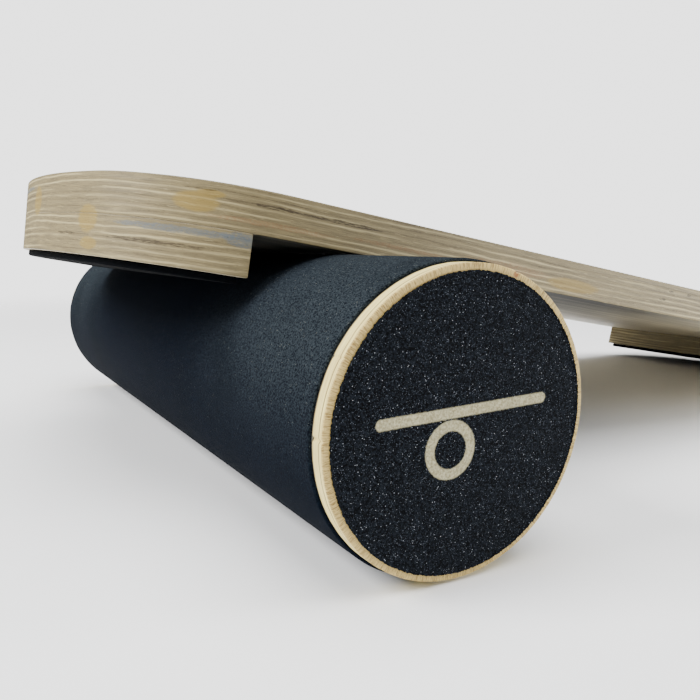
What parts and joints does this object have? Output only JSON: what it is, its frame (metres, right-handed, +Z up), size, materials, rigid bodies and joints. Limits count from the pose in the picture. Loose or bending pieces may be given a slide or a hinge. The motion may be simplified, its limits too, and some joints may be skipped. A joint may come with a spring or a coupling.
{
  "type": "balance board",
  "caption": "Long plywood deck with rounded ends and underside stop blocks, resting tilted on a loose cylindrical roller with an abrasive black sleeve and plywood end caps.",
  "frame": {"origin": "middle of the whole object's footprint at floor level", "axes": "+X along the deck towards its lower end, +Y along the roller's axis, +Z up"},
  "size_m": [0.6701, 0.4312, 0.1482],
  "materials": {
    "deck_plywood": "clear satin lacquer on birch plywood",
    "block_plywood": "clear satin lacquer on birch plywood",
    "cap_plywood": "sanded birch plywood",
    "plug_plywood": "raw plywood",
    "deck_abrasive": "fine black abrasive sheet",
    "sleeve_abrasive": "fine black grit in rubber",
    "disc_abrasive": "coarse black grit sheet",
    "pad_rubber": "smooth black foam rubber",
    "tube_plastic": "grey plastic pipe",
    "steel": "zinc plated"
  },
  "bodies": {
    "roller_core": {"tie_rod": "steel", "tie_rod_nuts": "steel"},
    "tilt_carrier": {"near_end_plug": "plug_plywood", "far_end_plug": "plug_plywood"},
    "deck": {"deck_panel": "deck_plywood", "deck_grip": "deck_abrasive", "left_stop_block": "block_plywood", "left_stop_pad": "pad_rubber", "left_stop_screws": "steel", "right_stop_block": "block_plywood", "right_stop_pad": "pad_rubber", "right_stop_screws": "steel"},
    "roller_shell": {"roller_tube": "tube_plastic", "roller_sleeve": "sleeve_abrasive", "near_end_cap": "cap_plywood", "near_grip_disc": "disc_abrasive", "far_end_cap": "cap_plywood", "far_grip_disc": "disc_abrasive"}
  },
  "joints": [
    {"name": "deck_tilt", "type": "hinge", "parent": "roller_core", "child": "tilt_carrier", "pos_m": [-0.22691, 0, 0.0563], "axis": [0, 1, 0], "range_deg": [-19.18, 0]},
    {"name": "deck_travel", "type": "slide", "parent": "tilt_carrier", "child": "deck", "axis": [-0.986, 0, 0.1666], "range_m": [-0.01, 0.45112]},
    {"name": "roller_spin", "type": "hinge", "parent": "tilt_carrier", "child": "roller_shell", "pos_m": [-0.22691, 0, 0.0563], "axis": [0, 1, 0], "continuous": true}
  ],
  "couplings": [
    {"joint": "roller_spin", "follows": "deck_travel", "rad_per_m": -17.762}
  ]
}
